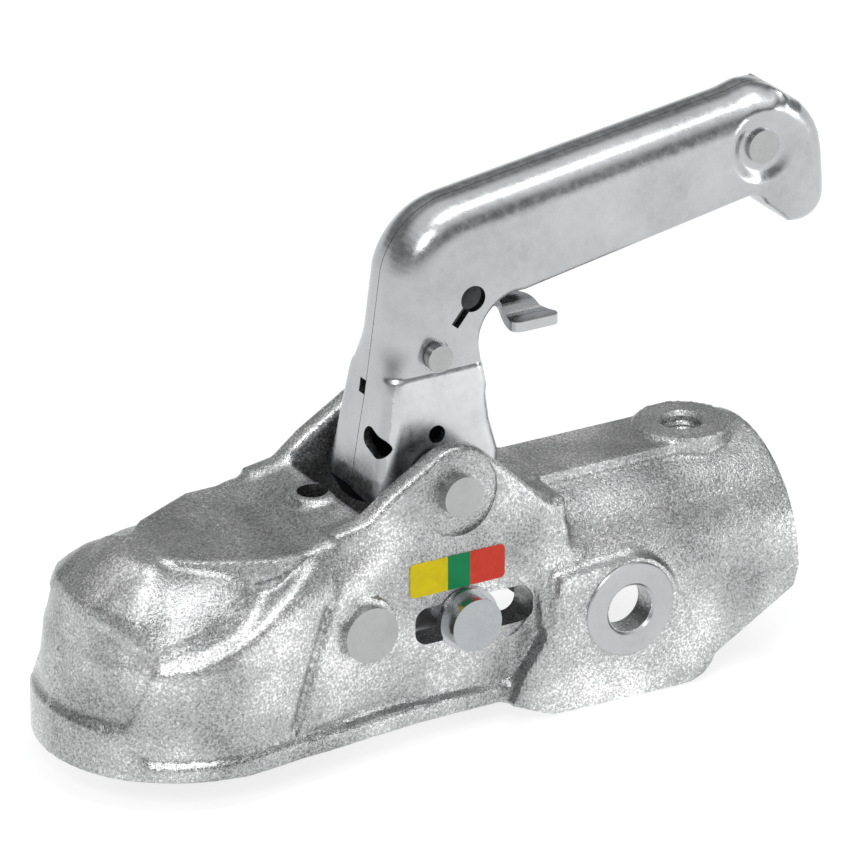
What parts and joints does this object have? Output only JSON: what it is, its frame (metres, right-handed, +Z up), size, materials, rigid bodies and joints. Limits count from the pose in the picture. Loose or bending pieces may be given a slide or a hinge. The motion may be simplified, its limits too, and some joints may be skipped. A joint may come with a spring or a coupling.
{
  "type": "trailer coupling head",
  "caption": "Ball coupling head for a round drawbar: open cast cup and tube seat, swinging jaw, sprung locking pin in side slots, and a cranked hand lever with a release trigger.",
  "frame": {"origin": "centre of the seated towing ball", "axes": "+X from the ball back to the trailer, along the drawbar; +Z up; the lever's finger tab and the indicator strip are on the -Y side"},
  "size_m": [0.266, 0.09, 0.1778],
  "materials": {
    "cast_zinc": "zinc-plated casting, rough",
    "sheet_zinc": "bright zinc-plated pressed sheet",
    "steel": "turned steel",
    "pin_zinc": "yellowish zinc plating",
    "dark_steel": "dark spring steel",
    "label": "printed three-colour film"
  },
  "bodies": {
    "head": {"housing": "cast_zinc", "jaw_pin": "steel", "jaw_circlip": "dark_steel", "lever_pivot_pin": "steel", "pivot_washer_near": "dark_steel", "pivot_washer_far": "dark_steel", "latch_disc": "dark_steel", "spring_seat": "dark_steel", "indicator_label": "label"},
    "lever": {"lever_shell_near": "sheet_zinc", "lever_shell_far": "sheet_zinc", "lever_cam": "steel", "bend_rivet": "steel", "grip_rivet": "steel", "grip_spacer": "dark_steel", "trigger_spring": "dark_steel"},
    "trigger": {"release_trigger": "sheet_zinc"},
    "jaw": {"ball_jaw": "steel"},
    "slide": {"slide_block": "steel", "lock_pin": "pin_zinc", "lock_washer_near": "sheet_zinc", "lock_washer_far": "sheet_zinc", "spring_guide": "steel", "closing_spring": "dark_steel"}
  },
  "joints": [
    {"name": "lever_open", "type": "hinge", "parent": "head", "child": "lever", "pos_m": [0.08, 0, 0.056], "axis": [0, -1, 0], "range_deg": [0, 55], "stiffness_Nm_per_rad": 0.6, "springref_deg": -34.38},
    {"name": "trigger_squeeze", "type": "hinge", "parent": "lever", "child": "trigger", "pos_m": [0.0817, 0, 0.0945], "axis": [0, -1, 0], "range_deg": [0, 6], "stiffness_Nm_per_rad": 1, "springref_deg": -11.46},
    {"name": "jaw_swing", "type": "hinge", "parent": "head", "child": "jaw", "pos_m": [0.0452, 0, 0.0205], "axis": [0, -1, 0], "range_deg": [0, 12.1]},
    {"name": "lock_slide", "type": "slide", "parent": "head", "child": "slide", "axis": [1, 0, 0], "range_m": [0, 0.0121], "deforming": ["closing_spring"]}
  ],
  "couplings": [
    {"joint": "jaw_swing", "follows": "lever_open", "ratio": 0.21818},
    {"joint": "lock_slide", "follows": "lever_open", "m_per_rad": 0.012501}
  ]
}
